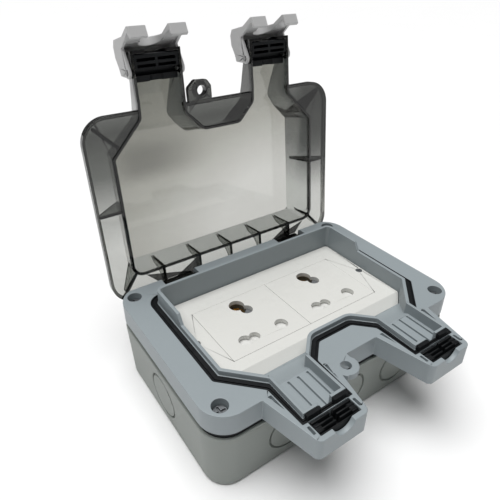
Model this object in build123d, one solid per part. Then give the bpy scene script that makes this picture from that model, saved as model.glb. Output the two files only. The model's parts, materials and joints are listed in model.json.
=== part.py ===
from build123d import *
import os
from math import radians, tan

os.makedirs("parts", exist_ok=True)

# Weatherproof wall box for two unswitched, shuttered 16 A round-pin sockets, with a hinged
# clear lid and two snap latches.  Millimetres; the origin is the centre of the box's back face,
# +Z points out of the wall, +X runs along the hinge and +Y towards it.  Cable spouts are at -Y.
# The lid and its latches are drawn shut, then turned to the open rest position.

# ---- driving dimensions -------------------------------------------------------------------
WIDTH, DEPTH, CORNER = 174.5, 116.0, 15.0     # plan of the box and of the frame's rim
BASE_H = 37.9                                 # back box
SEAM_H = 3.9                                  # gap that the box gasket fills
SHELL_T, BACK_T = 2.6, 2.8                    # back box wall and back
FRAME_H = 12.8                                # side wall of the frame
RIM = BASE_H + SEAM_H + FRAME_H               # height of the rim plane, 54.6
WALL, DECK = 2.5, 2.8                         # moulded wall and deck thickness
DRAFT = 2.5                                   # degrees, back box sides

SCREW_X, SCREW_Y = 78.4, 49.1                 # frame screws at the corners
SCREW_R, HEAD_R, COUNTERBORE_R = 1.95, 3.7, 4.25
HEAD_DEPTH, INSERT_R = 6.5, 2.8               # screw heads sit this far below the rim
FIXING_X, FIXING_Y, FIXING_R = 60.0, 40.0, 2.6          # wall screws through the back
KNOCKOUT_R, KNOCKOUT_Z, KNOCKOUT_DEPTH = 13.6, 20.0, 1.5
KNOCKOUT_GROOVE = 1.1                         # width of the weakening groove round each knockout
KNOCKOUT_X = (-41.0, 0.0, 41.0)               # three in front and behind, one at each end

ARM_X = 38.35                                 # centre line of each cable spout and lid arm
SPOUT_ROOT, SPOUT_END, SPOUT_Y = 22.2, 15.0, -90.5
SEAL_W, SEAL_H = 4.0, 2.4
SEAL_HALF, SEAL_BACK, SEAL_SPOUT = 73.7, 43.5, -79.0
SPOUT_SEAL_ROOT, SPOUT_SEAL_END = 16.4, 15.4  # half-widths of the seal's outline in a spout
CHANNEL_OUT, CHANNEL_IN, CHANNEL_END = 13.1, 11.5, -76.4  # raised wall along a spout's floor
CHANNEL_ROOT = -46.0                          # the channel starts well inside the well
GAP_HALF = 4.0                                # cable gap in that wall's end
PLATE_TOP = RIM - 7.4                         # white face plate
PLATE_T = 2.8
FOLD_Y, PLATE_Y = -31.0, -36.5                # the plate bends down between these
BACK_WALL_H, FRONT_WALL_H = 9.0, 3.0          # raised wall round the plate
STEP_Y, STEP_END_Y = 10.5, 6.7                # where that wall steps down
FLOOR_Z = RIM - 3.4                           # spout floor
GROOVE_DX = (-9.2, -3.1, 3.1, 9.2)
GROOVE_W, GROOVE_DEPTH = 1.2, 1.6
COMB_Y0, COMB_Y1 = -87.8, -79.3               # cable seal pocket
COMB_HALF = 12.4
NOTCH_R = 6.2                                 # cable notch
PADLOCK_X, PADLOCK_Y, PADLOCK_R = 12.2, -63.8, 2.9

PLATE_SCREW_X, PLATE_SCREW_R, PLATE_HEAD_R = 63.6, 1.5, 2.1
MODULE_W, MODULE_Y0, MODULE_Y1 = 53.8, -23.4, 23.1
PIN_Y = -13.3                                 # line and neutral entries
LINE_DX, EARTH_DY = 12.7, 28.6                # 16 A pins: 25.4 apart, earth 28.6 above
SMALL_LINE_DX, SMALL_EARTH_DY = 19.05, 22.2   # 6 A pins share the right-hand entry
LINE_R, EARTH_R, SMALL_LINE_R, SMALL_EARTH_R = 4.0, 4.75, 3.2, 3.8
MODULE_SCREW_DX, MODULE_SCREW_Y = (-21.0, 21.0), 15.0
BODY_H = 19.0                                 # moulded rear housing of each socket

HINGE_Y, HINGE_Z = 53.5, RIM - 6.5
HINGE_X, KNUCKLE_W, KNUCKLE_R, HINGE_PIN_R = 45.0, 23.4, 4.0, 1.5
OPEN_ANGLE = 96.0                             # the lid at rest, past upright on its stop

HAT_T, HAT_INSET = 1.6, 1.2                   # clear lid wall, and its step in from the seal's edge
HAT_DRAFT, DRAFT_Z = 12.0, RIM + 3.2          # degrees above that height, but not the hinge side
HAT_SLOPE_Y0, HAT_SLOPE_Y1 = -42.5, -79.0     # the top slopes down to the arms between these
ARM_HALF, ARM_END_Y = 14.9, -89.0             # lid arm over each spout
HAT_TOP = RIM + 24.6
ARM_TOP = RIM + 10.2
HAT_LIFT = 0.4                                # gap between the rim and the shut lid's wall
FLANGE_Z, FLANGE_T, BEAD_H = RIM + 0.8, 2.0, 2.2
GUSSET_X = (-51.5, -25.0, 0.0, 25.0, 51.5)
RIB_T = 1.8

LATCH_Y, LATCH_Z = -78.0, RIM + 4.0           # latch pivot with the lid shut
LATCH_HALF, LATCH_T, LATCH_PIN_R = 16.8, 1.7, 1.5
LATCH_REST = 28.0                             # latch at rest is swung out by this much
CLAW_W, TOOTH_TIP = 10.2, -88.3
LATCH_GAP_Z = RIM - 0.6                       # centre of the round end of the gap between claws

SIDES = {"left": -1, "right": 1}


# ---- helpers ------------------------------------------------------------------------------
def mirrored(points):
    """The right half of an outline, given front to back, with its mirror image."""
    return points + [(-x, y) for x, y in reversed(points)]


def flat(points):
    return make_face(Polyline(*points, close=True))


def block(x0, x1, y0, y1, z0, z1):
    return Pos((x0 + x1) / 2, (y0 + y1) / 2, (z0 + z1) / 2) * Box(x1 - x0, y1 - y0, z1 - z0)


def post(x, y, z0, z1, radius):
    return Pos(x, y, (z0 + z1) / 2) * Cylinder(radius, z1 - z0)


def rod_x(x0, x1, y, z, radius):
    return Pos((x0 + x1) / 2, y, z) * Rot(0, 90, 0) * Cylinder(radius, abs(x1 - x0))


def slab(face, z0, z1, taper=0):
    return extrude(Pos(0, 0, z0) * face, z1 - z0, taper=taper)


def grown(face, amount):
    return offset(face, amount, kind=Kind.INTERSECTION)


def side_profile(points, x0, x1):
    """A (y, z) outline extruded along X from x0 to x1."""
    plane = Plane(origin=(x0, 0, 0), x_dir=(0, 1, 0), z_dir=(1, 0, 0))
    return extrude(plane * flat(points), x1 - x0)


def corners(x, y):
    return [(sx * x, sy * y) for sx in (-1, 1) for sy in (-1, 1)]


def turned(shape, y, z, degrees_x):
    """Turn about a line parallel to X through (y, z)."""
    return Pos(0, y, z) * Rot(degrees_x, 0, 0) * Pos(0, -y, -z) * shape


def at_rest_lid(shape):
    return turned(shape, HINGE_Y, HINGE_Z, -OPEN_ANGLE)


def save(name, shape):
    if isinstance(shape, list):
        shape = Compound(children=shape)
    shape.label = name
    export_step(shape, f"parts/{name}.step")


# ---- plan outlines ------------------------------------------------------------------------
def widened(face, half, end_y):
    """An outline with a straight channel of that half-width added along each spout."""
    for side in (-1, 1):
        x = side * ARM_X
        corner_x = (x - half, x + half)
        face += flat([(corner_x[0], CHANNEL_ROOT), (corner_x[0], end_y),
                      (corner_x[1], end_y), (corner_x[1], CHANNEL_ROOT)])
    return face


rim_outline = RectangleRounded(WIDTH, DEPTH, CORNER)
seal_outline = flat(mirrored([
    (12.0, -43.2), (ARM_X - SPOUT_SEAL_ROOT, -53.2), (ARM_X - SPOUT_SEAL_END, SEAL_SPOUT),
    (ARM_X + SPOUT_SEAL_END, SEAL_SPOUT), (ARM_X + SPOUT_SEAL_ROOT, -54.2),
    (SEAL_HALF, -34.7), (SEAL_HALF, SEAL_BACK)]))
back_corners = seal_outline.vertices().sort_by(Axis.Y)[-2:]
seal_outline = fillet(back_corners, 9)
seal_outline = fillet([v for v in seal_outline.vertices() if -60 < v.Y < -30], 2.5)
seal_inner = widened(grown(seal_outline, -SEAL_W), CHANNEL_OUT + 0.2, CHANNEL_END - 0.2)
well_outline = widened(grown(seal_outline, -SEAL_W - 0.6), CHANNEL_OUT, CHANNEL_END)
plate_outline = widened(grown(seal_outline, -SEAL_W - 2.6), CHANNEL_IN, CHANNEL_END + 1.6)


def spout_outline(side):
    x = side * ARM_X
    face = flat([(x - SPOUT_ROOT, -50), (x - SPOUT_ROOT, -57.9), (x - SPOUT_END, SPOUT_Y),
                 (x + SPOUT_END, SPOUT_Y), (x + SPOUT_ROOT, -57.9), (x + SPOUT_ROOT, -50)])
    return fillet(face.vertices().sort_by(Axis.Y)[:2], 3.5)


frame_outline = rim_outline + spout_outline(-1) + spout_outline(1)


# ---- back box -----------------------------------------------------------------------------
def back_box():
    outside = slab(rim_outline, BASE_H, 0, taper=DRAFT)
    outside = fillet(outside.edges().group_by(Axis.Z)[0], 2.0)
    box = outside - slab(grown(rim_outline, -SHELL_T), BASE_H, BACK_T, taper=DRAFT)
    for x, y in corners(SCREW_X, SCREW_Y):
        box += outside & post(x, y, 0, BASE_H, INSERT_R + 2.8)
    for x, y in corners(SCREW_X, SCREW_Y):
        box -= post(x, y, BASE_H - 11, BASE_H + 1, INSERT_R)
    # wall-fixing holes through the back
    for x, y in corners(FIXING_X, FIXING_Y):
        box += post(x, y, 1.0, 4.4, FIXING_R + 2.8)
        box -= post(x, y, -1, 5.4, FIXING_R)
    # knockouts: a round groove in the drafted sides
    groove = Cylinder(KNOCKOUT_R, 2 * KNOCKOUT_DEPTH)
    groove -= Cylinder(KNOCKOUT_R - KNOCKOUT_GROOVE, 3 * KNOCKOUT_DEPTH)
    for side in (-1, 1):
        for x in KNOCKOUT_X:
            box -= Pos(x, side * (DEPTH / 2 - 0.85), KNOCKOUT_Z) * Rot(90 - DRAFT * side, 0, 0) * groove
        box -= Pos(side * (WIDTH / 2 - 0.85), 0, KNOCKOUT_Z) * Rot(0, 90 + DRAFT * side, 0) * groove
    return box


def box_gasket():
    ring = grown(rim_outline, -1.4) - grown(rim_outline, -4.2)
    return slab(ring, BASE_H, RIM - FRAME_H)


# ---- frame --------------------------------------------------------------------------------
def front_frame():
    bottom = RIM - FRAME_H
    frame = slab(frame_outline, bottom, RIM)
    frame -= slab(grown(frame_outline, -WALL), bottom - 1, RIM - DECK)
    for x, y in corners(SCREW_X, SCREW_Y):
        frame += slab(frame_outline, bottom, RIM) & post(x, y, bottom, RIM, 6.0)
    for side in (-1, 1):
        x = side * ARM_X
        frame += slab(frame_outline, bottom, RIM) & block(x - 20, x + 20, SPOUT_Y, -76.5, bottom, RIM)
        x = side * HINGE_X
        frame += block(x - 15, x + 15, 45.0, DEPTH / 2 - 0.5, bottom, RIM)
    # the well: everything inside the seal is cut away, then the wall and ramp are added
    frame -= slab(well_outline, bottom - 1, RIM + 1)
    wall = slab(well_outline, bottom, RIM + BACK_WALL_H) - slab(plate_outline, bottom - 1, RIM + 20)
    low, high = RIM + FRONT_WALL_H, RIM + BACK_WALL_H + 1
    cap = [(STEP_END_Y, low), (STEP_Y, RIM + BACK_WALL_H), (STEP_Y, high + 5),
           (-100, high + 5), (-100, low)]
    wall -= side_profile(cap, -90, 90)
    frame += wall
    ledge = slab(plate_outline, bottom, PLATE_TOP - PLATE_T) - slab(grown(plate_outline, -2.4), 0, RIM)
    frame += ledge & block(-90, 90, FOLD_Y + 1.5, 60, 0, RIM)
    for side in (-1, 1):
        x = side * PLATE_SCREW_X
        boss_r, wall_x = 3.4, side * 66.0
        frame += block(min(x, wall_x), max(x, wall_x), -boss_r, boss_r, bottom, PLATE_TOP - PLATE_T)
        frame += post(x, 0, bottom, PLATE_TOP - PLATE_T, boss_r)
        frame -= post(x, 0, bottom - 1, RIM, PLATE_SCREW_R + 0.05)
    ramp = [(PLATE_Y - 0.3, bottom), (PLATE_Y - 0.3, RIM - 11.4), (-40.0, RIM - 10.2), (-52.5, FLOOR_Z),
            (-78.0, FLOOR_Z), (-78.0, FLOOR_Z - 2.4), (-53.0, FLOOR_Z - 2.4), (-44.0, bottom)]
    frame += side_profile(ramp, -90, 90) & slab(well_outline, 0, RIM)
    # seal groove
    frame -= slab(seal_outline - seal_inner, RIM - SEAL_H + 0.3, RIM + 1)
    # spouts: cable seal pocket, cable notch, floor grooves and moulding slots
    for side in (-1, 1):
        x = side * ARM_X
        frame -= block(x - COMB_HALF, x + COMB_HALF, COMB_Y0, COMB_Y1, RIM - 10.4, RIM + 1)
        notch = block(x - NOTCH_R, x + NOTCH_R, -92, -87, RIM + 1.6, RIM + 5)
        notch += Pos(x, -89.5, RIM + 1.6) * Rot(90, 0, 0) * Cylinder(NOTCH_R, 5)
        frame -= notch
        for dx in GROOVE_DX:
            groove = block(x + dx - GROOVE_W / 2, x + dx + GROOVE_W / 2, CHANNEL_END + 2, -53.4,
                           FLOOR_Z - GROOVE_DEPTH, FLOOR_Z + 1)
            frame -= groove
        frame -= block(x - GAP_HALF, x + GAP_HALF, CHANNEL_END - 0.5, CHANNEL_END + 2, FLOOR_Z, RIM + 5)
        for dx in (-14.0, 14.0):
            frame -= block(x + dx - 0.75, x + dx + 0.75, -85.6, -81.0, RIM - 3.0, RIM + 1)
            sx = 1 if dx > 0 else -1
            wedge = flat([(x + sx * 18.9, -57.6), (x + sx * 16.9, -57.6), (x + sx * 16.8, -68.0)])
            frame -= slab(wedge, RIM - 2.4, RIM + 1)
    # padlock tab between the rim and the left spout
    px, py = -PADLOCK_X, PADLOCK_Y
    tab_low = RIM - 3.6
    tab_plan = [(px - 7, -56), (px - 9, -64), (px - 4.5, -69.8), (px + 4.5, -68.8), (px + 6.6, -56)]
    frame += slab(flat(tab_plan), tab_low, RIM) + post(px, py, tab_low, RIM, 6.8)
    frame -= post(px, py, 0, RIM + 1, PADLOCK_R)
    # hinge notches in the back edge, with their pin bores
    for side in (-1, 1):
        x = side * HINGE_X
        half = KNUCKLE_W / 2 + 0.3
        frame -= block(x - half, x + half, 48.4, DEPTH / 2 + 1, bottom + 1.5, RIM + 1)
        frame -= rod_x(x - 15.5, x + 15.5, HINGE_Y, HINGE_Z, HINGE_PIN_R)
    # back edge eased, so that the lid's flange swings clear of it
    back_y, ease = DEPTH / 2, 1.6
    eased = [(back_y + 1, RIM + 1), (back_y - ease - 1, RIM + 1), (back_y + 1, RIM - ease - 1)]
    frame -= side_profile(eased, -90, 90)
    # counterbored screw holes
    for x, y in corners(SCREW_X, SCREW_Y):
        frame -= post(x, y, bottom - 1, RIM + 1, 2.3)
        frame -= post(x, y, RIM - HEAD_DEPTH, RIM + 1, COUNTERBORE_R)
    return frame


def frame_screws():
    under_head = RIM - HEAD_DEPTH
    screws = []
    for x, y in corners(SCREW_X, SCREW_Y):
        screw = post(x, y, under_head, under_head + 2.4, HEAD_R)
        screw += post(x, y, BASE_H - 8, under_head, SCREW_R)
        screw -= block(x - 3, x + 3, y - 0.5, y + 0.5, under_head + 1.2, RIM)
        screw -= block(x - 0.5, x + 0.5, y - 3, y + 3, under_head + 1.2, RIM)
        screws.append(screw)
    return screws


def threaded_inserts():
    bore = SCREW_R + 0.05
    return [post(x, y, BASE_H - 10, BASE_H - 0.2, INSERT_R) - post(x, y, 0, BASE_H + 1, bore)
            for x, y in corners(SCREW_X, SCREW_Y)]


def lid_seal():
    """Flat ring in the rim's groove, with an upright lip each side of a spout's cable gap."""
    seal = slab(seal_outline - seal_inner, RIM - SEAL_H + 0.3, RIM + 0.1)
    seal -= slab(grown(seal_outline, -0.8) - grown(seal_outline, -1.5), RIM - 0.7, RIM + 1)
    for side in (-1, 1):
        for s in (-1, 1):
            inner_x, outer_x = side * ARM_X + s * GAP_HALF, side * ARM_X + s * (CHANNEL_IN + 1.0)
            low_x, high_x = min(inner_x, outer_x), max(inner_x, outer_x)
            seal += block(low_x, high_x, SEAL_SPOUT + 0.3, CHANNEL_END - 0.3, RIM - 1, RIM + FRONT_WALL_H)
    return seal


def frame_cable_seal(side):
    x = side * ARM_X
    half, low, high = COMB_HALF - 0.1, RIM - 10.3, RIM + 0.2
    y0, y1 = COMB_Y0 + 0.1, COMB_Y1 - 0.1
    comb = block(x - half, x + half, y0, y1, low, high)
    for y in (y0 + 1.9, y0 + 5.1):
        comb -= block(x - half + 1.6, x - 0.8, y, y + 1.6, low + 2.0, high + 1)
        comb -= block(x + 0.8, x + half - 1.6, y, y + 1.6, low + 2.0, high + 1)
    return comb


def hinge_pins():
    half, radius = 14.8, HINGE_PIN_R - 0.04
    return [rod_x(x - half, x + half, HINGE_Y, HINGE_Z, radius) for x in (-HINGE_X, HINGE_X)]


# ---- face plate and sockets ---------------------------------------------------------------
def face_plate():
    outline = grown(plate_outline, -0.3) & flat([(-90, PLATE_Y), (90, PLATE_Y), (90, 60), (-90, 60)])
    low = PLATE_TOP - PLATE_T
    profile = [(60, PLATE_TOP), (FOLD_Y, PLATE_TOP), (PLATE_Y, RIM - 12.2), (PLATE_Y + 2.6, RIM - 12.2),
               (FOLD_Y + 0.9, low), (60, low)]
    plate = slab(outline, 0, RIM) & side_profile(profile, -90, 90)
    plate -= block(-MODULE_W, MODULE_W, MODULE_Y0, MODULE_Y1, 0, RIM)
    for side in (-1, 1):
        plate -= post(side * PLATE_SCREW_X, 0, 0, RIM, PLATE_SCREW_R + 0.1)
        plate -= post(side * PLATE_SCREW_X, 0, PLATE_TOP - 1.2, RIM, PLATE_HEAD_R + 0.2)
    return plate


def plate_screws():
    screws = []
    for side in (-1, 1):
        x = side * PLATE_SCREW_X
        screw = post(x, 0, PLATE_TOP - 1.2, PLATE_TOP - 0.2, PLATE_HEAD_R)
        screw += post(x, 0, PLATE_TOP - 9, PLATE_TOP - 1.2, PLATE_SCREW_R)
        screws.append(screw - block(x - 1.6, x + 1.6, -0.3, 0.3, PLATE_TOP - 0.8, PLATE_TOP))
    return screws


def entries(cx, z0, z1):
    """The pin entries of one socket, 16 A and 6 A patterns sharing the right-hand hole."""
    right = cx + LINE_DX
    holes = post(right, PIN_Y, z0, z1, LINE_R)
    holes += post(right - 2 * LINE_DX, PIN_Y, z0, z1, LINE_R)
    holes += post(right - SMALL_LINE_DX, PIN_Y, z0, z1, SMALL_LINE_R)
    holes += post(cx, PIN_Y + EARTH_DY, z0, z1, EARTH_R)
    holes += post(right - SMALL_LINE_DX / 2, PIN_Y + SMALL_EARTH_DY, z0, z1, SMALL_EARTH_R)
    return holes


def socket_front(cx):
    half = MODULE_W / 2 - 0.1
    front = block(cx - half, cx + half, MODULE_Y0 + 0.1, MODULE_Y1 - 0.1, PLATE_TOP - 3.0, PLATE_TOP)
    for dx in MODULE_SCREW_DX:
        front -= post(cx + dx, MODULE_SCREW_Y, 0, PLATE_TOP - 0.9, 1.2)
    return front - entries(cx, 0, RIM)


def contact_places(cx):
    return {"line": (cx + LINE_DX, PIN_Y, 3.55), "neutral": (cx - LINE_DX, PIN_Y, 3.55),
            "earth": (cx, PIN_Y + EARTH_DY, 4.4)}


def socket_body(cx):
    top = PLATE_TOP - 3.0
    low = top - BODY_H
    body = block(cx - 25.5, cx + 25.5, -22.8, 22.8, low, top)
    # shutter chamber, then a pocket for each contact
    body -= block(cx - 21, cx + 21, -19.4, 4.0, top - 2.8, top + 1)
    body -= block(cx - 2.4, cx + 2.4, -19.4, 7.6, top - 5.4, top + 1)
    for x, y, r in contact_places(cx).values():
        body -= post(x, y, low + 2.0, top + 1, r + 1.5)
        body -= block(x - 5, x + 5, y - 5, y + 5, low - 1, low + 4.5)
    for dx in MODULE_SCREW_DX:
        body -= post(cx + dx, MODULE_SCREW_Y, low - 1, top + 1, 1.25)
        body -= post(cx + dx, MODULE_SCREW_Y, low - 1, low + 1.8, 2.3)
    return body


def contact(x, y, r):
    """Sprung brass sleeve with a slit, on a terminal block."""
    top = PLATE_TOP - 3.0
    low = top - BODY_H
    sleeve = post(x, y, low + 4.0, top - 3.2, r + 1.1) - post(x, y, low + 6, top, r)
    sleeve -= block(x - 0.6, x + 0.6, y, y + r + 3, low + 6, top)
    foot = block(x - 4.5, x + 4.5, y - 4.5, y + 4.5, low - 4.5, low + 4.0)
    foot -= rod_x(x - 6, x + 6, y, low - 1.5, 1.6)
    foot -= post(x, y, low - 6, low - 1.5, 1.3)
    return sleeve + foot


def terminal_screws(cx):
    low = PLATE_TOP - 3.0 - BODY_H
    screws = []
    for x, y, r in contact_places(cx).values():
        screw = post(x, y, low - 6.2, low - 1.9, 1.26) + post(x, y, low - 6.2, low - 4.9, 2.0)
        screws.append(screw - block(x - 2.5, x + 2.5, y - 0.3, y + 0.3, low - 7, low - 5.6))
    return screws


def module_screws(cx):
    """Two screws from behind hold the housing to the socket front."""
    low, top = PLATE_TOP - 3.0 - BODY_H, PLATE_TOP - 3.0
    screws = []
    for dx in MODULE_SCREW_DX:
        x, y = cx + dx, MODULE_SCREW_Y
        screw = post(x, y, low, top + 2.0, 1.2) + post(x, y, low + 0.2, low + 1.8, 2.2)
        screws.append(screw - block(x - 1.6, x + 1.6, y - 0.3, y + 0.3, 0, low + 0.8))
    return screws


def shutter(cx):
    top = PLATE_TOP - 3.35
    return block(cx - 20.4, cx + 20.4, -19.0, -7.9, top - 1.8, top)


def shutter_spring(cx):
    z = PLATE_TOP - 3.35 - 3.4
    start, stop, pitch, radius = -7.7, 7.4, 3.0, 1.2
    spring = Pos(cx, start, z) * Rot(-90, 0, 0) * Helix(pitch, stop - start, radius)
    wire = Plane(origin=spring @ 0, z_dir=spring % 0) * Circle(0.25)
    return sweep(wire, path=spring, is_frenet=True)


# ---- lid, drawn shut ----------------------------------------------------------------------
def hat_top(extra):
    """Keeps what is under the sloping top of the lid."""
    return [(70, HAT_TOP + extra), (HAT_SLOPE_Y0, HAT_TOP + extra), (HAT_SLOPE_Y1, ARM_TOP + extra),
            (-110, ARM_TOP + extra), (-110, 0), (70, 0)]


def hat_plan():
    outer = grown(seal_outline, -HAT_INSET)
    for side in (-1, 1):
        x0, x1 = side * ARM_X - ARM_HALF, side * ARM_X + ARM_HALF
        outer += flat([(x0, -60), (x0, ARM_END_Y), (x1, ARM_END_Y), (x1, -60)])
    return outer


def hat_solid(plan, extra):
    """The hat on its plan: drafted sides, an upright hinge side and a sloping top."""
    spare = (HAT_TOP - DRAFT_Z) * tan(radians(HAT_DRAFT)) + 1
    drafted = slab(plan + Pos(0, spare, 0) * plan, DRAFT_Z, HAT_TOP + 1, taper=HAT_DRAFT)
    drafted &= slab(plan, DRAFT_Z, HAT_TOP + 1) & side_profile(hat_top(extra), -90, 90)
    return slab(plan, RIM + HAT_LIFT, DRAFT_Z) + drafted


def lid():
    outer = hat_plan()
    inner = grown(outer, -HAT_T)
    body = hat_solid(outer, 0)
    body += slab(rim_outline, FLANGE_Z, FLANGE_Z + FLANGE_T)
    body += slab(rim_outline - grown(rim_outline, -1.8), FLANGE_Z, FLANGE_Z + FLANGE_T + BEAD_H)
    top = HAT_TOP - 2.5
    z0 = FLANGE_Z + 0.5
    # curved gussets on the hinge side
    for x in GUSSET_X:
        web_plan = [(41.6, z0), (56.0, z0), (56.0, FLANGE_Z + 3.5), (41.6, top)]
        web = side_profile(web_plan, x - RIB_T / 2, x + RIB_T / 2)
        scoop = rod_x(x - 2, x + 2, 57.6, FLANGE_Z + 16.0, 11.4)
        body += web - scoop
    # one straight rib at each side and one across each corner
    for side in (-1, 1):
        plane = Plane(origin=(0, -2.0 - RIB_T / 2, 0), x_dir=(1, 0, 0), z_dir=(0, 1, 0))
        near, far = side * 66.0, side * 86.0
        shoulder = side * 67.4
        rib = flat([(near, -z0), (far, -z0), (far, -FLANGE_Z - 4.0), (shoulder, -top), (near, -top)])
        body += extrude(plane * rib, RIB_T)
        for x0, y0, x1, y1 in ((64.0, -36.0, 80.0, -52.3), (65.0, 34.0, 79.0, 50.0)):
            direction = Vector(side * (x1 - x0), y1 - y0, 0)
            sideways = direction.cross(Vector(0, 0, 1))
            plane = Plane(origin=(side * x0, y0, 0), x_dir=direction, z_dir=sideways)
            reach = direction.length
            web = flat([(0, z0), (reach, z0), (reach, FLANGE_Z + 4.0), (0, top)])
            body += extrude(plane * web, RIB_T / 2, both=True)
    # the hollow, cut through the webs' inner ends as well
    body -= hat_solid(inner, -HAT_T) + slab(inner, 0, RIM + HAT_LIFT)
    # padlock lug
    px, py = -PADLOCK_X, PADLOCK_Y
    lug = flat([(px - 9, -56), (px - 9, -66), (px - 4, -70.2), (px + 4, -69.8),
                (px + 6.6, -66), (px + 6.6, -56)])
    body += slab(fillet(lug.vertices().sort_by(Axis.Y)[:3], 2.5), FLANGE_Z, FLANGE_Z + 3.2)
    body += post(px, py, FLANGE_Z, FLANGE_Z + 4.4, 5.2)
    body -= post(px, py, 0, FLANGE_Z + 10, PADLOCK_R)
    # hinge knuckles hang from the flange
    for side in (-1, 1):
        x = side * HINGE_X
        x0, x1 = x - KNUCKLE_W / 2, x + KNUCKLE_W / 2
        body += rod_x(x0, x1, HINGE_Y, HINGE_Z, KNUCKLE_R)
        body += block(x0, x1, HINGE_Y - 2.4, HINGE_Y + 2.4, HINGE_Z, FLANGE_Z + 0.5)
        body -= rod_x(x0 - 1, x1 + 1, HINGE_Y, HINGE_Z, HINGE_PIN_R)
    # cable way through each arm's end, and the latch pin bores
    for side in (-1, 1):
        x = side * ARM_X
        body -= block(x - NOTCH_R, x + NOTCH_R, -92, -86.5, 0, RIM + 2.4)
        body -= Pos(x, -89.0, RIM + 2.4) * Rot(90, 0, 0) * Cylinder(NOTCH_R, 6)
        body -= rod_x(x - 20, x + 20, LATCH_Y, LATCH_Z, LATCH_PIN_R)
    return body


def lid_cable_seal(side):
    x = side * ARM_X
    half, low, high = ARM_HALF - HAT_T - 0.2, RIM + 0.7, ARM_TOP - HAT_T - 0.1
    y0, y1 = ARM_END_Y + 2.1, -72.5
    comb = block(x - half, x + half, y0, y1, low, high)
    comb -= block(x - half - 1, x + half + 1, SEAL_SPOUT - 0.4, y1 + 1, low - 1, RIM + FRONT_WALL_H + 0.4)
    comb -= rod_x(x - 20, x + 20, LATCH_Y, LATCH_Z, 2.0)
    for y in (y0 + 2.0, y0 + 5.2):
        comb -= block(x - half + 1.6, x - 0.8, y, y + 1.6, low - 1, high - 1.6)
        comb -= block(x + 0.8, x + half - 1.6, y, y + 1.6, low - 1, high - 1.6)
    comb -= Pos(x, y1, low) * Rot(90, 0, 0) * Cylinder(5.0, 6)
    return comb & hat_solid(grown(hat_plan(), -HAT_T - 0.2), -HAT_T - 0.1)


def latch_pins(side):
    x = side * ARM_X
    near, far = ARM_HALF - 2.2, LATCH_HALF + 0.3
    return [rod_x(x + s * near, x + s * far, LATCH_Y, LATCH_Z, LATCH_PIN_R - 0.01) for s in (-1, 1)]


def latch(side):
    """Snap latch in its shut position: flanks, front shell, thumb lip, two hooked claws."""
    x = side * ARM_X
    x0, x1 = x - LATCH_HALF, x + LATCH_HALF
    ear, front, bottom = 3.3, -91.6, RIM - 15.4
    flank = [(LATCH_Y, RIM + 0.75), (-90.0, RIM + 0.75), (front, bottom + 5), (-94.4, bottom + 5),
             (-94.4, RIM - 4), (-98.6, RIM + 8.0), (-96.4, RIM + 11.4), (-91.0, RIM + 13.6),
             (-84.5, RIM + 13.2), (-80.5, RIM + 13.8), (-79.0, RIM + 11.4), (LATCH_Y + ear, LATCH_Z)]
    shell = side_profile(flank, x0, x1)
    shell += rod_x(x0, x1, LATCH_Y, LATCH_Z, ear)
    inner = [(-60, RIM - 30), (front, RIM - 30), (front, RIM - 3), (-93.0, RIM + 8.4), (-91.6, RIM + 11.4),
             (-86.0, RIM + 11.6), (-85.0, RIM + 30), (-60, RIM + 30)]
    shell -= side_profile(inner, x0 + LATCH_T, x1 - LATCH_T)
    claw = [(front, RIM - 2), (-94.4, RIM - 2), (-94.8, bottom + 1.6), (-94.0, bottom),
            (TOOTH_TIP, bottom + 0.5),
            (TOOTH_TIP + 0.4, bottom + 2.1), (front, bottom + 2.5)]
    for c0 in (x0, x1 - CLAW_W):
        shell += side_profile(claw, c0, c0 + CLAW_W)
    gap_half = LATCH_HALF - CLAW_W
    gap = block(x - gap_half, x + gap_half, -100, -88, bottom - 1, LATCH_GAP_Z)
    gap += Pos(x, -94, LATCH_GAP_Z) * Rot(90, 0, 0) * Cylinder(gap_half, 12)
    shell -= gap
    shell -= rod_x(x0 - 1, x1 + 1, LATCH_Y, LATCH_Z, LATCH_PIN_R + 0.05)
    shell -= block(x0 + LATCH_T, x1 - LATCH_T, LATCH_Y - 6, LATCH_Y + 6, 0, RIM + 30)
    return shell


# ---- build and write ----------------------------------------------------------------------
save("back_box", back_box())
save("box_gasket", box_gasket())
save("front_frame", front_frame())
save("frame_screws", frame_screws())
save("threaded_inserts", threaded_inserts())
save("lid_seal", lid_seal())
save("hinge_pins", hinge_pins())
save("face_plate", face_plate())
save("plate_screws", plate_screws())
save("lid", at_rest_lid(lid()))

for name, side in SIDES.items():
    centre = side * MODULE_W / 2
    save(f"frame_cable_seal_{name}", frame_cable_seal(side))
    save(f"socket_front_{name}", socket_front(centre))
    save(f"socket_body_{name}", socket_body(centre))
    for pole, (x, y, r) in contact_places(centre).items():
        save(f"{pole}_contact_{name}", contact(x, y, r))
    save(f"terminal_screws_{name}", terminal_screws(centre))
    save(f"module_screws_{name}", module_screws(centre))
    save(f"shutter_{name}", shutter(centre))
    save(f"shutter_spring_{name}", shutter_spring(centre))
    save(f"lid_cable_seal_{name}", at_rest_lid(lid_cable_seal(side)))
    save(f"latch_pins_{name}", [at_rest_lid(pin) for pin in latch_pins(side)])
    save(f"latch_{name}", at_rest_lid(turned(latch(side), LATCH_Y, LATCH_Z, -LATCH_REST)))
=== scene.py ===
import json
from math import cos, radians, sin

import bpy
from mathutils import Matrix, Vector
from mathutils.bvhtree import BVHTree

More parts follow.
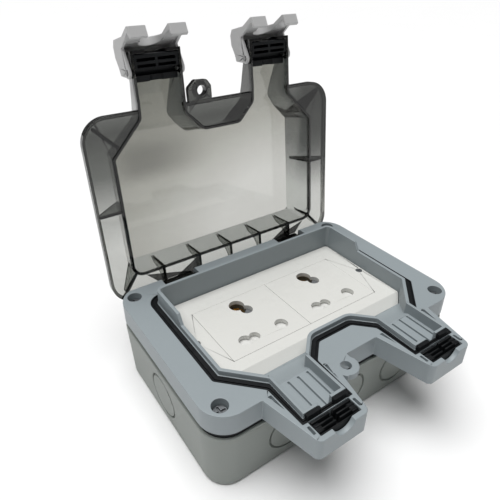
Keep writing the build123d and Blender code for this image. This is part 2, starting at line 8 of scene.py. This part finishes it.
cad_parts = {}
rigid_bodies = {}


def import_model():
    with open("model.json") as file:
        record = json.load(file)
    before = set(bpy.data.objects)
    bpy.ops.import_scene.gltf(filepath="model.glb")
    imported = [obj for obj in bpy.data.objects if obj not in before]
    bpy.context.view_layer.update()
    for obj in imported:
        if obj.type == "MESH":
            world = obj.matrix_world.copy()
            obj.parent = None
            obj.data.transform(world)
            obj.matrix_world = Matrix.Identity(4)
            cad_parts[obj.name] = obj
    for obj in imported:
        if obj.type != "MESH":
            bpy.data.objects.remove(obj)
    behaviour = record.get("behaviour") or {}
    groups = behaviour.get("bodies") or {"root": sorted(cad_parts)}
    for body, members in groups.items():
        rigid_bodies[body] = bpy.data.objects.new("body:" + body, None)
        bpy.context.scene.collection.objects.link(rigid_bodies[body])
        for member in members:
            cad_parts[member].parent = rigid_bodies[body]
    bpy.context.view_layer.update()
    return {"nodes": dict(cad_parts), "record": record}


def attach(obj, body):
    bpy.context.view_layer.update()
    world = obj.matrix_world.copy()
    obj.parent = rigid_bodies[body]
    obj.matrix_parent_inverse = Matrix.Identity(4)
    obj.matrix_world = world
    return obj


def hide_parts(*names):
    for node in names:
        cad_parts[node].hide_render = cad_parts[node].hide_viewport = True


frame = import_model()
nodes = frame["nodes"]
MM = 0.001
SIDES = {"left": -1, "right": 1}
CAMERA_PLACE = (-0.15375, -0.18044, 0.23460)
LID_OPEN = radians(96)
LID_OUTWARD = Vector((0, sin(LID_OPEN), cos(LID_OPEN)))
SPOUT_X = 38.35                     # mm, spout centre line from the middle of the box
MERGE_WITHIN = 2e-6                 # m
FLAT_WITHIN = radians(0.6)
EASE_ABOVE = radians(28)            # an edge that turns more than this is rounded
SMOOTH_BELOW = radians(40)
RUBBER_EASE_ABOVE = radians(40)


# ---- camera, floor and light ---------------------------------------------------------------
def place_camera():
    turn, tilt, roll = radians(-34.985), radians(30.932), radians(0.398)
    back = Vector((sin(turn) * cos(tilt), -cos(turn) * cos(tilt), sin(tilt)))
    right = Vector((0, 0, 1)).cross(back).normalized()
    up = back.cross(right)
    across = right * cos(roll) + up * sin(roll)
    upward = up * cos(roll) - right * sin(roll)
    data = bpy.data.cameras.new("camera")
    data.sensor_width, data.lens = 36.0, 34.595
    data.shift_x, data.shift_y = -0.0008, -0.0216
    data.clip_start, data.clip_end = 0.01, 60.0
    camera = bpy.data.objects.new("camera", data)
    bpy.context.scene.collection.objects.link(camera)
    x, y, z = CAMERA_PLACE
    camera.matrix_world = Matrix((
        (across.x, upward.x, back.x, x), (across.y, upward.y, back.y, y),
        (across.z, upward.z, back.z, z), (0, 0, 0, 1)))
    bpy.context.scene.camera = camera


def add_light(name, kind, place, target, energy, **settings):
    data = bpy.data.lights.new(name, kind)
    data.energy = energy
    for key, value in settings.items():
        setattr(data, key, value)
    lamp = bpy.data.objects.new(name, data)
    bpy.context.scene.collection.objects.link(lamp)
    lamp.location = place
    lamp.rotation_euler = (Vector(target) - Vector(place)).to_track_quat("-Z", "Y").to_euler()


def light_studio():
    add_light("overhead_softbox", "SUN", (-0.15, 0.05, 1.0), (0, 0, 0), 3.45, angle=radians(55))
    add_light("front_softbox", "AREA", (0.75, -1.0, 0.55), (0, 0, 0.06), 0.4, size=0.9)
    world = bpy.data.worlds.new("studio")
    bpy.context.scene.world = world
    world.use_nodes = True
    background = world.node_tree.nodes["Background"]
    background.inputs["Color"].default_value = (1.0, 1.0, 1.0, 1)
    background.inputs["Strength"].default_value = 0.13


# ---- shader building -----------------------------------------------------------------------
class Wire:
    """A node's output; arithmetic on it adds Math nodes."""

    def __init__(self, finish, socket):
        self.finish, self.socket = finish, socket

    def maths(self, operation, first, second):
        return self.finish.node("ShaderNodeMath", {"operation": operation}, {0: first, 1: second})

    def __add__(self, other):
        return self.maths("ADD", self, other)

    def __sub__(self, other):
        return self.maths("SUBTRACT", self, other)

    def __rsub__(self, other):
        return self.maths("SUBTRACT", other, self)

    def __mul__(self, other):
        return self.maths("MULTIPLY", self, other)

    __radd__, __rmul__ = __add__, __mul__


class Finish:
    """A procedural material and the one way nodes are added to it."""

    def __init__(self, name):
        self.material = bpy.data.materials.new(name)
        self.material.use_nodes = True
        self.tree = self.material.node_tree
        self.tree.nodes.clear()

    def node(self, kind, settings=None, inputs=None, output=0):
        made = self.tree.nodes.new(kind)
        for key, value in (settings or {}).items():
            if key == "stops":
                while len(made.color_ramp.elements) < len(value):
                    made.color_ramp.elements.new(1.0)
                for element, (place, colour) in zip(made.color_ramp.elements, value):
                    element.position, element.color = place, (*colour, 1)
            else:
                setattr(made, key, value)
        for key, value in (inputs or {}).items():
            if isinstance(value, Wire):
                self.tree.links.new(value.socket, made.inputs[key])
            else:
                made.inputs[key].default_value = value
        return Wire(self, made.outputs[output])

    def noise(self, scale, detail=3.0, rough=0.55):
        place = self.node("ShaderNodeTexCoord", output="Object")
        return self.node("ShaderNodeTexNoise", inputs={
            "Vector": place, "Scale": scale, "Detail": detail, "Roughness": rough})

    def tint(self, factor, low, high):
        return self.mix(factor, (*low, 1), (*high, 1))

    def ramp_along(self, axis, start, end):
        """0 to 1 from start to end, in metres along one axis of the piece."""
        place = self.node("ShaderNodeTexCoord", output="Object")
        along = self.node("ShaderNodeSeparateXYZ", inputs={"Vector": place}, output=axis)
        return self.node("ShaderNodeMapRange", {"interpolation_type": "SMOOTHSTEP"}, {
            "Value": along, "From Min": start, "From Max": end})

    def mix(self, factor, low, high):
        """Mix two colours, each a four-part value or made by nodes."""
        return self.node("ShaderNodeMix", {"data_type": "RGBA"}, {0: factor, 6: low, 7: high}, 2)

    def ramp(self, factor, stops):
        return self.node("ShaderNodeValToRGB", {"stops": stops}, {"Fac": factor}, "Color")

    def bump(self, height, depth_mm):
        return self.node("ShaderNodeBump", inputs={
            "Height": height, "Distance": depth_mm * MM, "Strength": 1.0})

    def surface(self, **inputs):
        """Principled shader; keywords are its socket names with _ for a space."""
        named = {key.replace("_", " "): value for key, value in inputs.items()}
        return self.node("ShaderNodeBsdfPrincipled", inputs=named, output="BSDF")

    def done(self, shader, volume=None):
        inputs = {"Surface": shader}
        if volume:
            inputs["Volume"] = volume
        target = self.tree.nodes.new("ShaderNodeOutputMaterial")
        for key, value in inputs.items():
            self.tree.links.new(value.socket, target.inputs[key])
        return self.material


def moulded_plastic(name, colour, rough=0.42, grain_mm=0.012, mottle=0.05, specular=0.5, coat=0.0):
    """Spark-textured moulding: fine grain, faint flow marks and slight tone change."""
    finish = Finish(name)
    grain = finish.noise(2600, 2.0)
    flow = finish.noise(38, 3.0)
    fleck = finish.noise(420, 4.0)
    light = tuple(min(1.0, c * (1 + mottle)) for c in colour)
    dark = tuple(c * (1 - mottle) for c in colour)
    tone = flow * 0.7 + fleck * 0.3
    return finish.done(finish.surface(
        Base_Color=finish.tint(tone, dark, light),
        Roughness=rough - 0.07 + flow * 0.09 + grain * 0.05,
        Specular_IOR_Level=specular, Coat_Weight=coat, Coat_Roughness=0.12,
        Normal=finish.bump(grain * 0.7 + fleck * 0.5, grain_mm)))


def soft_rubber(name):
    finish = Finish(name)
    dust = finish.noise(260, 4.0, 0.65)
    fine = finish.noise(1900, 2.0)
    bloom = finish.ramp(dust, [
        (0.35, (0.004, 0.005, 0.006)), (0.62, (0.007, 0.008, 0.009)), (0.80, (0.018, 0.019, 0.021))])
    return finish.done(finish.surface(
        Base_Color=bloom, Roughness=0.40 + dust * 0.22, Specular_IOR_Level=0.20,
        Normal=finish.bump(fine + dust * 0.6, 0.02)))


def smoke_clear(name):
    """Clear smoke-tinted polycarbonate whose colour carries painted shade: darker towards the arms and
    the left, darker flange and side walls, painted shade on the right-hand side, a painted dark
    reflection on the panel, and near-black painted shade at the edges of its walls.
    """
    finish = Finish(name)
    ripple = finish.noise(30, 2.0)
    scuff = finish.noise(700, 5.0, 0.7)
    height = finish.ramp_along("Z", 0.185, 0.065)
    across = finish.ramp_along("X", -0.090, 0.050)
    # Painted shade: the panel's colour is darker towards the arms (the top of the open lid) and towards
    # the left.
    tone = finish.ramp(height * 0.62 + across * 0.38 + ripple * 0.06 - 0.03, [
        (0.05, (0.22, 0.22, 0.195)), (0.35, (0.37, 0.37, 0.335)), (0.60, (0.56, 0.56, 0.52)),
        (0.92, (0.95, 0.95, 0.93))])
    # Painted shade: the flange and the upright side walls take darker copies of the lid's colour, graded
    # by height.
    flange = finish.ramp(height, [
        (0.02, (0.30, 0.31, 0.30)), (0.22, (0.095, 0.10, 0.095)), (0.50, (0.20, 0.21, 0.20)),
        (0.95, (0.95, 0.96, 0.95))])
    side = finish.ramp(height, [
        (0.10, (0.050, 0.056, 0.055)), (0.62, (0.24, 0.255, 0.25)), (0.95, (0.62, 0.64, 0.62))])
    # Painted shade: the upper right-hand part of the flange and side walls is darkened towards near
    # black.
    shade = finish.ramp_along("X", 0.056, 0.070) * finish.ramp_along("Z", 0.072, 0.120) * 0.75
    flange = finish.mix(shade, flange, (0.040, 0.042, 0.040, 1))
    side = finish.mix(shade, side, (0.040, 0.044, 0.043, 1))
    upright = finish.node("ShaderNodeAttribute", {"attribute_name": "upright"}, output="Fac")
    panel = finish.ramp_along("Y", 0.074, 0.082)
    # Painted reflection: a dark cloud on the panel, darkening its colour between these heights and
    # across.
    painted_dark_reflection = (finish.ramp_along("Z", 0.104, 0.118) * finish.ramp_along("Z", 0.139, 0.124)
            * finish.ramp_along("X", 0.006, -0.044) * finish.ramp_along("X", -0.074, -0.050))
    tone = finish.mix(painted_dark_reflection * 0.62 + ripple * 0.04, tone, (0.16, 0.16, 0.145, 1))
    walls = finish.mix(upright, finish.mix(panel, flange, tone), side)
    # Painted shade: faces with much material behind them, the edges of the walls, turn near black.
    edge = finish.node("ShaderNodeAttribute", {"attribute_name": "edge"}, output="Fac")
    clear = finish.surface(
        Base_Color=finish.mix(edge, walls, (0.010, 0.010, 0.010, 1)), Transmission_Weight=1.0, IOR=1.49,
        Roughness=0.015 + scuff * 0.03, Normal=finish.bump(ripple, 0.03))
    body = finish.node("ShaderNodeVolumeAbsorption", inputs={
        "Color": (0.30, 0.30, 0.26, 1), "Density": 380.0}, output="Volume")
    return finish.done(clear, body)


def metal(name, colour, rough, streak=0.06):
    finish = Finish(name)
    cloud = finish.noise(240, 3.0)
    fine = finish.noise(3200, 2.0)
    return finish.done(finish.surface(
        Base_Color=finish.tint(cloud, tuple(c * (1 - streak) for c in colour), colour),
        Metallic=1.0, Roughness=rough + cloud * 0.10 + fine * 0.05,
        Normal=finish.bump(fine, 0.006)))


def pale_floor():
    finish = Finish("pale_floor")
    mist = finish.noise(6, 2.0)
    return finish.done(finish.surface(
        Base_Color=finish.tint(mist, (0.86, 0.86, 0.86), (0.88, 0.88, 0.88)), Roughness=0.75))


MATERIALS = {
    "shell_grey": moulded_plastic("shell_grey", (0.235, 0.255, 0.238), rough=0.50),
    "frame_grey": moulded_plastic("frame_grey", (0.268, 0.304, 0.320), rough=0.45),
    "latch_grey": moulded_plastic("latch_grey", (0.470, 0.470, 0.470), rough=0.40),
    "housing_grey": moulded_plastic("housing_grey", (0.12, 0.125, 0.13), rough=0.55),
    "white_plastic": moulded_plastic("white_plastic", (0.66, 0.66, 0.63), rough=0.28, grain_mm=0.004,
                                     mottle=0.015, coat=0.3),
    "shutter_white": moulded_plastic("shutter_white", (0.62, 0.62, 0.60), rough=0.40, mottle=0.02),
    "black_rubber": soft_rubber("black_rubber"),
    "smoke_clear": smoke_clear("smoke_clear"),
    "brass": metal("brass", (0.72, 0.52, 0.22), 0.25),
    "zinc_steel": metal("zinc_steel", (0.20, 0.21, 0.22), 0.42),
    "stainless": metal("stainless", (0.24, 0.24, 0.24), 0.36),
    "spring_steel": metal("spring_steel", (0.38, 0.38, 0.38), 0.28),
}


# ---- mesh work -----------------------------------------------------------------------------
def only(obj, *others):
    """Select obj, and any others, and nothing else, and make obj active."""
    for other in bpy.context.view_layer.objects:
        other.select_set(False)
    for chosen in (*others, obj):
        chosen.select_set(True)
    bpy.context.view_layer.objects.active = obj


def apply_modifier(obj, kind, **settings):
    modifier = obj.modifiers.new(kind.lower(), kind)
    for key, value in settings.items():
        setattr(modifier, key, value)
    only(obj)
    bpy.ops.object.modifier_apply(modifier=modifier.name)


def give(obj, body, slot, *replaced):
    """Finish slot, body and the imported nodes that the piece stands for."""
    obj.data.materials.clear()
    obj.data.materials.append(MATERIALS[slot])
    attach(obj, body)
    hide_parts(*replaced)


def eased_copy(node, name, round_mm):
    """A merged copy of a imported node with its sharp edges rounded."""
    piece = bpy.data.objects.new(name, nodes[node].data.copy())
    piece.data.name = name
    bpy.context.scene.collection.objects.link(piece)
    only(piece)
    bpy.ops.object.mode_set(mode="EDIT")
    bpy.ops.mesh.select_all(action="SELECT")
    bpy.ops.mesh.remove_doubles(threshold=MERGE_WITHIN)
    bpy.ops.mesh.dissolve_limited(angle_limit=FLAT_WITHIN)
    bpy.ops.mesh.select_all(action="SELECT")
    bpy.ops.mesh.quads_convert_to_tris(ngon_method="BEAUTY")
    bpy.ops.object.mode_set(mode="OBJECT")
    apply_modifier(piece, "BEVEL", width=round_mm * MM, segments=3, limit_method="ANGLE",
                   angle_limit=EASE_ABOVE, use_clamp_overlap=False, miter_outer="MITER_ARC")
    bpy.ops.object.shade_smooth_by_angle(angle=SMOOTH_BELOW)
    apply_modifier(piece, "WEIGHTED_NORMAL", keep_sharp=True, weight=80)
    return piece


def mark_edges(piece, thin_mm=2.4, thick_mm=4.4):
    """Face attributes of the clear lid, which steer the painted shade in its colour: "edge" is 1 where
    much material lies behind a face, and
    "upright" is 1 on the side walls and ribs, which stand square to its panel and flange."""
    sliver_mm2, step_mm = 0.02, 0.02
    mesh = piece.data
    tree = BVHTree.FromObject(piece, bpy.context.evaluated_depsgraph_get())
    edge = mesh.attributes.new("edge", "FLOAT", "FACE")
    depths = {face.index: 1.0 for face in mesh.polygons}
    mesh.calc_loop_triangles()
    for part in mesh.loop_triangles:
        if part.area > sliver_mm2 * MM * MM or depths[part.polygon_index] == 1.0:
            start = part.center - part.normal * step_mm * MM
            depth = tree.ray_cast(start, -part.normal)[3] or 0.0
            depths[part.polygon_index] = min(depths[part.polygon_index], depth)
    upright = mesh.attributes.new("upright", "FLOAT", "FACE")
    for face in mesh.polygons:
        upright.data[face.index].value = 1.0 - abs(face.normal.dot(LID_OUTWARD))
        over = (depths[face.index] / MM - thin_mm) / (thick_mm - thin_mm)
        edge.data[face.index].value = min(1.0, max(0.0, over))


def body_of(node):
    bodies = frame["record"]["behaviour"]["bodies"]
    return next(body for body, members in bodies.items() if node in members)


EASED = {
    "back_box": ("shell_grey", 0.5), "box_gasket": ("black_rubber", 0.4),
    "front_frame": ("frame_grey", 0.3), "lid_seal": ("black_rubber", 0.15),
    "face_plate": ("white_plastic", 0.35), "frame_screws": ("zinc_steel", 0.15),
    "plate_screws": ("zinc_steel", 0.12), "lid": ("smoke_clear", 0.2),
}
PLAIN = {"threaded_inserts": "brass", "hinge_pins": "stainless"}
for side in SIDES:
    EASED[f"socket_front_{side}"] = ("white_plastic", 0.22)
    EASED[f"shutter_{side}"] = ("shutter_white", 0.2)
    EASED[f"lid_cable_seal_{side}"] = ("black_rubber", 0.3)
    EASED[f"latch_{side}"] = ("latch_grey", 0.45)
    PLAIN[f"latch_pins_{side}"] = "stainless"
    PLAIN[f"socket_body_{side}"] = "housing_grey"
    PLAIN[f"shutter_spring_{side}"] = "spring_steel"
    PLAIN[f"terminal_screws_{side}"] = "zinc_steel"
    PLAIN[f"module_screws_{side}"] = "zinc_steel"
    for pole in ("line", "neutral", "earth"):
        PLAIN[f"{pole}_contact_{side}"] = "brass"


def add_block(low, high):
    """A cuboid between two corners in millimetres, as its own piece."""
    for other in bpy.context.view_layer.objects:
        other.select_set(False)
    middle = [(a + b) / 2 * MM for a, b in zip(low, high)]
    bpy.ops.mesh.primitive_cube_add(size=1, location=middle)
    block = bpy.context.object
    block.scale = [(b - a) * MM for a, b in zip(low, high)]
    bpy.ops.object.transform_apply(location=True, rotation=False, scale=True)
    return block


def edit_top(piece):
    """Go into edit mode with only the upward faces selected."""
    only(piece)
    bpy.ops.object.mode_set(mode="EDIT")
    bpy.ops.mesh.select_mode(type="FACE")
    bpy.ops.object.mode_set(mode="OBJECT")
    for face in piece.data.polygons:
        face.select = face.normal.z > 0.9
    bpy.ops.object.mode_set(mode="EDIT")


def soften(piece, width_mm, segments):
    bpy.ops.object.mode_set(mode="OBJECT")
    apply_modifier(piece, "BEVEL", width=width_mm * MM, segments=segments, limit_method="ANGLE",
                   angle_limit=RUBBER_EASE_ABOVE)


def add_blade(comb, across, y, thick, top):
    """Join one upright blade to the comb: thinner at its tip, with a rounded crest."""
    root, middle = 48.6, (48.6 + top) / 2
    blade = add_block((across[0], y - thick / 2, root), (across[1], y + thick / 2, middle))
    edit_top(blade)
    bpy.ops.mesh.extrude_region_move(TRANSFORM_OT_translate={"value": (0, 0, (top - root) / 2 * MM)})
    bpy.ops.transform.resize(value=(0.985, 0.62, 1.0))
    soften(blade, 0.28, 3)
    only(comb, blade)
    bpy.ops.object.join()


def frame_comb(side):
    """The cable seal in a spout: a block, three rows of split blades, a front strip and two cheeks."""
    x = SIDES[side] * SPOUT_X
    comb = add_block((x - 12.2, -87.6, 44.4), (x + 12.2, -79.5, 49.6))
    edit_top(comb)
    bpy.ops.mesh.inset(thickness=0.7 * MM, depth=-0.5 * MM)
    soften(comb, 0.2, 2)
    for y, top, thick in ((-80.5, 54.75, 1.7), (-82.9, 54.75, 1.5), (-85.1, 54.6, 1.4)):
        add_blade(comb, (x - 12.1, x - 1.1), y, thick, top)
        add_blade(comb, (x + 1.1, x + 12.1), y, thick, top)
    add_blade(comb, (x - 12.1, x + 12.1), -87.0, 1.1, 53.9)
    add_blade(comb, (x - 12.1, x - 8.6), -83.8, 7.2, 54.3)
    add_blade(comb, (x + 8.6, x + 12.1), -83.8, 7.2, 54.3)
    comb.name = comb.data.name = f"frame_cable_seal_{side}_piece"
    only(comb)
    bpy.ops.object.mode_set(mode="EDIT")
    bpy.ops.mesh.select_all(action="SELECT")
    bpy.ops.mesh.normals_make_consistent(inside=False)
    bpy.ops.object.mode_set(mode="OBJECT")
    bpy.ops.object.shade_smooth_by_angle(angle=SMOOTH_BELOW)
    return comb


def make_floor():
    bpy.ops.mesh.primitive_plane_add(size=24, location=(0, 0, -0.0002))
    floor = bpy.context.object
    floor.name = "floor"
    floor.data.materials.append(pale_floor())


# ---- build ---------------------------------------------------------------------------------
bpy.context.scene.view_settings.view_transform = "Standard"
place_camera()
light_studio()
make_floor()
for node, (slot, round_mm) in EASED.items():
    give(eased_copy(node, f"{node}_piece", round_mm), body_of(node), slot, node)
mark_edges(bpy.data.objects["lid_piece"])
for side in SIDES:
    give(frame_comb(side), "enclosure", "black_rubber", f"frame_cable_seal_{side}")
for node, slot in PLAIN.items():
    nodes[node].data.materials.clear()
    nodes[node].data.materials.append(MATERIALS[slot])
